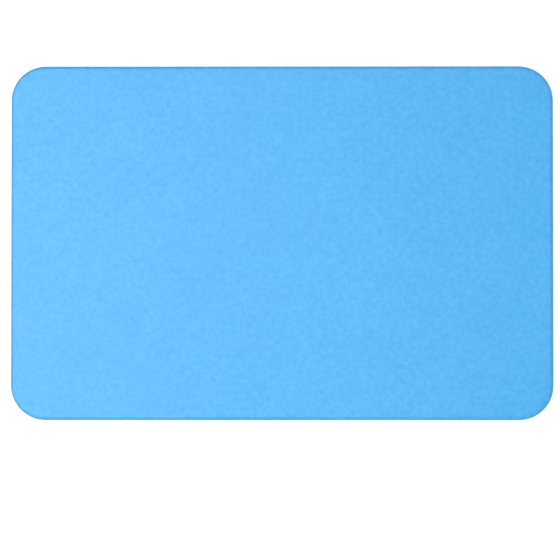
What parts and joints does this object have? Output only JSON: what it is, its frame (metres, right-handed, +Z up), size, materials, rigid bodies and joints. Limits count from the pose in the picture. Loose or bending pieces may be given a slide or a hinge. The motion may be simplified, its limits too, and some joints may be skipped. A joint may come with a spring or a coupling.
{
  "type": "diatomite bath mat",
  "caption": "Flat rigid absorbent board: a rectangular pressed mineral slab with round corners and eased edges, lying on thin stick-on round grip pads.",
  "frame": {"origin": "on the floor, under the middle of the board: the middle of the bounding box's lowest face", "axes": "+X along the length, +Y across the width, +Z up, from the floor to the face that is stood on"},
  "size_m": [0.6, 0.392, 0.0101],
  "materials": {
    "slab": "matte",
    "grip_pad": "matte",
    "adhesive": "satin"
  },
  "bodies": {
    "root": {"slab": "slab", "grip_pad_1": "grip_pad", "grip_pad_2": "grip_pad", "grip_pad_3": "grip_pad", "grip_pad_4": "grip_pad", "grip_pad_5": "grip_pad", "grip_pad_6": "grip_pad", "grip_pad_7": "grip_pad", "grip_pad_8": "grip_pad", "grip_pad_9": "grip_pad", "adhesive_disc_1": "adhesive", "adhesive_disc_2": "adhesive", "adhesive_disc_3": "adhesive", "adhesive_disc_4": "adhesive", "adhesive_disc_5": "adhesive", "adhesive_disc_6": "adhesive", "adhesive_disc_7": "adhesive", "adhesive_disc_8": "adhesive", "adhesive_disc_9": "adhesive"}
  },
  "joints": []
}
